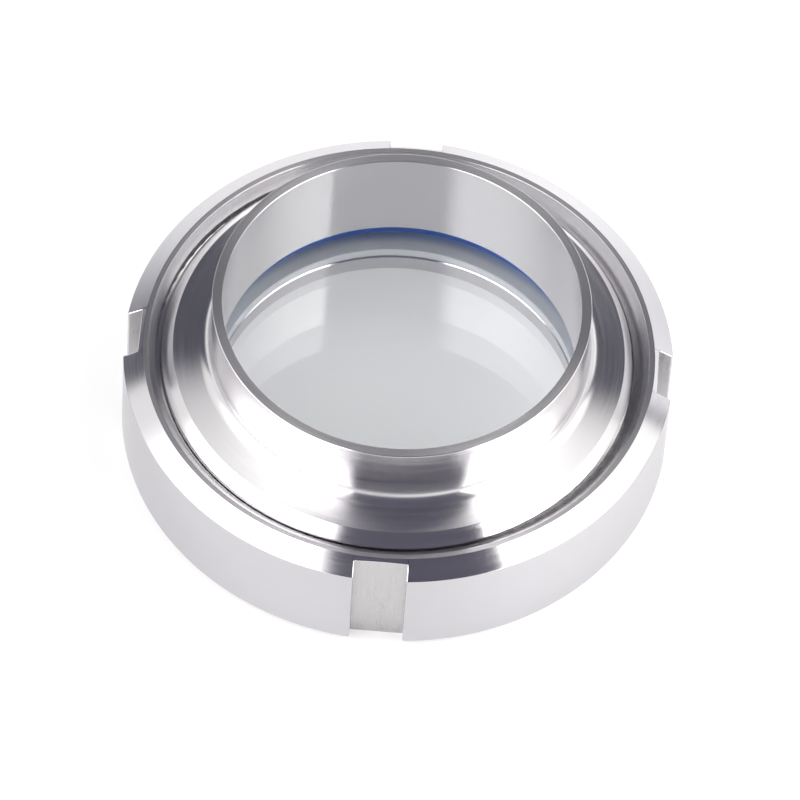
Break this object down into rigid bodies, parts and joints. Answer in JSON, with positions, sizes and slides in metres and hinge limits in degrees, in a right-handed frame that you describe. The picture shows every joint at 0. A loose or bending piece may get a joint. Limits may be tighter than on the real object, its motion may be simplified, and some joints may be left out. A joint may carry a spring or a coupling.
{
  "type": "union sight glass",
  "caption": "Sanitary union sight glass: a slotted round nut clamps a glass disc and its seals against the seat of a threaded weld ferrule.",
  "frame": {"origin": "centre of the face that the nut stands on, on the pipe axis", "axes": "+Z along the pipe axis from the nut's lip towards the weld end; the four spanner slots lie on +X, +Y, -X and -Y"},
  "size_m": [0.1106, 0.1106, 0.04],
  "materials": {
    "nut_steel": "polished stainless steel with fine turning marks",
    "ferrule_steel": "finely turned and polished stainless steel",
    "blue_rubber": "matt blue moulded rubber",
    "sight_glass": "clear polished flat glass",
    "white_gasket": "matt white fluoropolymer"
  },
  "bodies": {
    "nut": {"union_nut": "nut_steel"},
    "window": {"glass_disc": "sight_glass", "nut_gasket": "white_gasket"},
    "ferrule": {"weld_ferrule": "ferrule_steel", "seal_ring": "blue_rubber"}
  },
  "joints": [
    {"name": "ferrule_turn", "type": "hinge", "parent": "nut", "child": "window", "pos_m": [0, 0, 0], "axis": [0, 0, 1], "range_deg": [0, 1080]},
    {"name": "ferrule_lift", "type": "slide", "parent": "window", "child": "ferrule", "axis": [0, 0, 1], "range_m": [0, 0.0127]}
  ],
  "couplings": [
    {"joint": "ferrule_lift", "follows": "ferrule_turn", "m_per_rad": 0.00067376}
  ]
}
